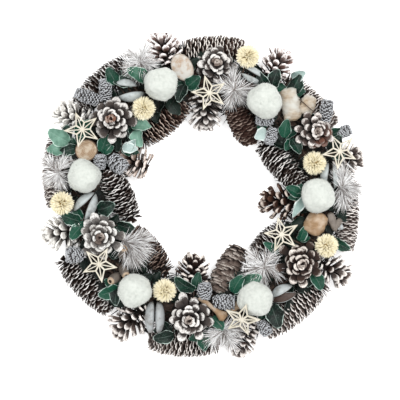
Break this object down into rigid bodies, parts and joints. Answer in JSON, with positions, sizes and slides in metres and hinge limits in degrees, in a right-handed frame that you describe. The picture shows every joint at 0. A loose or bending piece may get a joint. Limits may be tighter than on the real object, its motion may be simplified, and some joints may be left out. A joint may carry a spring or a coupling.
{
  "type": "pinecone wreath",
  "caption": "Round wreath of cones, frosted rosettes, cotton balls, dried heads, cut-out wooden stars, pods, leaves and needles on a hidden ring, for a wall, door or table.",
  "frame": {"origin": "middle of the bounding box at the underside, on the plane that the wreath lies on", "axes": "+Z out of the decorated face, away from the flat underside; +Y towards the top of the wreath as it hangs; +X to the right seen from above"},
  "size_m": [0.4204, 0.4112, 0.0899],
  "materials": {
    "vine": "rough twisted vine",
    "cone": "dark brown scales with frosted edges",
    "inner_cone": "brown scales with frosted edges",
    "rosette": "open scales, strongly frosted",
    "cotton": "fluffy",
    "head": "dried bracts, matt",
    "star_wood": "smooth cut wood, matt",
    "leaf": "preserved leaves with frosted edges",
    "needle": "frosted needles",
    "trim": "grey seed cones, silver pods and bare wood"
  },
  "bodies": {
    "root": {"ring_base": "vine", "outer_cones_1": "cone", "outer_cones_2": "cone", "outer_cones_3": "cone", "outer_cones_4": "cone", "outer_cones_5": "cone", "outer_cones_6": "cone", "outer_cones_7": "cone", "outer_cones_8": "cone", "inner_cones_1": "inner_cone", "inner_cones_2": "inner_cone", "inner_cones_3": "inner_cone", "inner_cones_4": "inner_cone", "inner_cones_5": "inner_cone", "inner_cones_6": "inner_cone", "inner_cones_7": "inner_cone", "frosted_rosette_1": "rosette", "frosted_rosette_2": "rosette", "frosted_rosette_3": "rosette", "frosted_rosette_4": "rosette", "frosted_rosette_5": "rosette", "frosted_rosette_6": "rosette", "cotton_ball_1": "cotton", "cotton_ball_2": "cotton", "cotton_ball_3": "cotton", "cotton_ball_4": "cotton", "cotton_ball_5": "cotton", "cotton_ball_6": "cotton", "spiky_head_1": "head", "spiky_head_2": "head", "spiky_head_3": "head", "spiky_head_4": "head", "spiky_head_5": "head", "spiky_head_6": "head", "wooden_star_1": "star_wood", "wooden_star_2": "star_wood", "wooden_star_3": "star_wood", "wooden_star_4": "star_wood", "wooden_star_5": "star_wood", "wooden_star_6": "star_wood", "trim_cluster_1": "trim", "trim_cluster_2": "trim", "trim_cluster_3": "trim", "trim_cluster_4": "trim", "trim_cluster_5": "trim", "trim_cluster_6": "trim", "trim_cluster_7": "trim", "leafy_stem_1": "leaf", "leafy_stem_2": "leaf", "leafy_stem_3": "leaf", "leafy_stem_4": "leaf", "leafy_stem_5": "leaf", "leafy_stem_6": "leaf", "needle_spray_1": "needle", "needle_spray_2": "needle", "needle_spray_3": "needle", "needle_spray_4": "needle", "needle_spray_5": "needle", "needle_spray_6": "needle", "needle_spray_7": "needle"}
  },
  "joints": []
}
